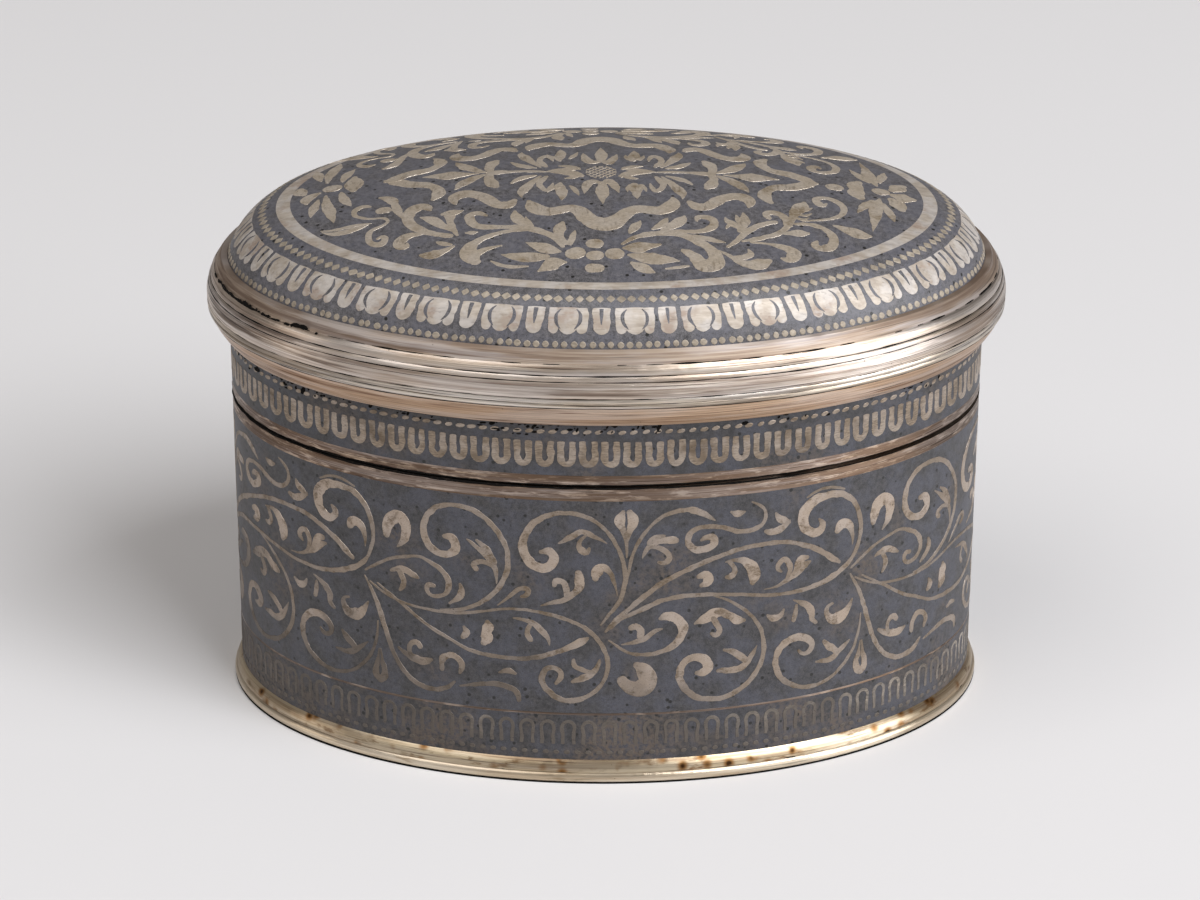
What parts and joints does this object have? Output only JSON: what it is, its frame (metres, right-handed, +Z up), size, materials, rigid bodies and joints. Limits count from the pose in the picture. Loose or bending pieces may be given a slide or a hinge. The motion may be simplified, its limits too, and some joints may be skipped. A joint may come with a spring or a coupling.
{
  "type": "lime box",
  "caption": "Oval silver lime box with niello scroll panels, an inner bezel and a domed lid with a reeded moulding that lifts straight off.",
  "frame": {"origin": "on the table under the middle of the box", "axes": "+X along the length of the oval, +Z up, the way the lid lifts off; +Y completes the frame and points away from the viewer"},
  "size_m": [0.0677, 0.0452, 0.0466],
  "materials": {
    "sheet_silver": "satin silver sheet, matt where it is engraved, warm with light tarnish",
    "moulding_silver": "drawn silver wire with fine lengthwise lines, rosy and yellowish tarnish",
    "foot_silver": "worn silver, yellowish with brown spots",
    "niello": "slate-blue niello, satin, with small black pits"
  },
  "bodies": {
    "box": {"foot_ring": "foot_silver", "foot_wire": "foot_silver", "base_plate": "sheet_silver", "body_wall": "sheet_silver", "body_scroll_niello": "niello", "body_border_niello": "niello", "bezel": "sheet_silver"},
    "lid": {"lid_collar": "sheet_silver", "collar_niello": "niello", "lid_dome": "sheet_silver", "dome_field_niello": "niello", "shoulder_niello": "niello", "lid_cove_wire": "moulding_silver", "lid_thread_lower": "moulding_silver", "lid_thread_upper": "moulding_silver", "lid_band_wire": "moulding_silver", "lid_reed_narrow": "moulding_silver", "lid_reed_wide": "moulding_silver", "lid_cap_wire": "moulding_silver"}
  },
  "joints": [
    {"name": "lid_lift", "type": "slide", "parent": "box", "child": "lid", "axis": [0, 0, 1], "range_m": [0, 0.03]}
  ]
}
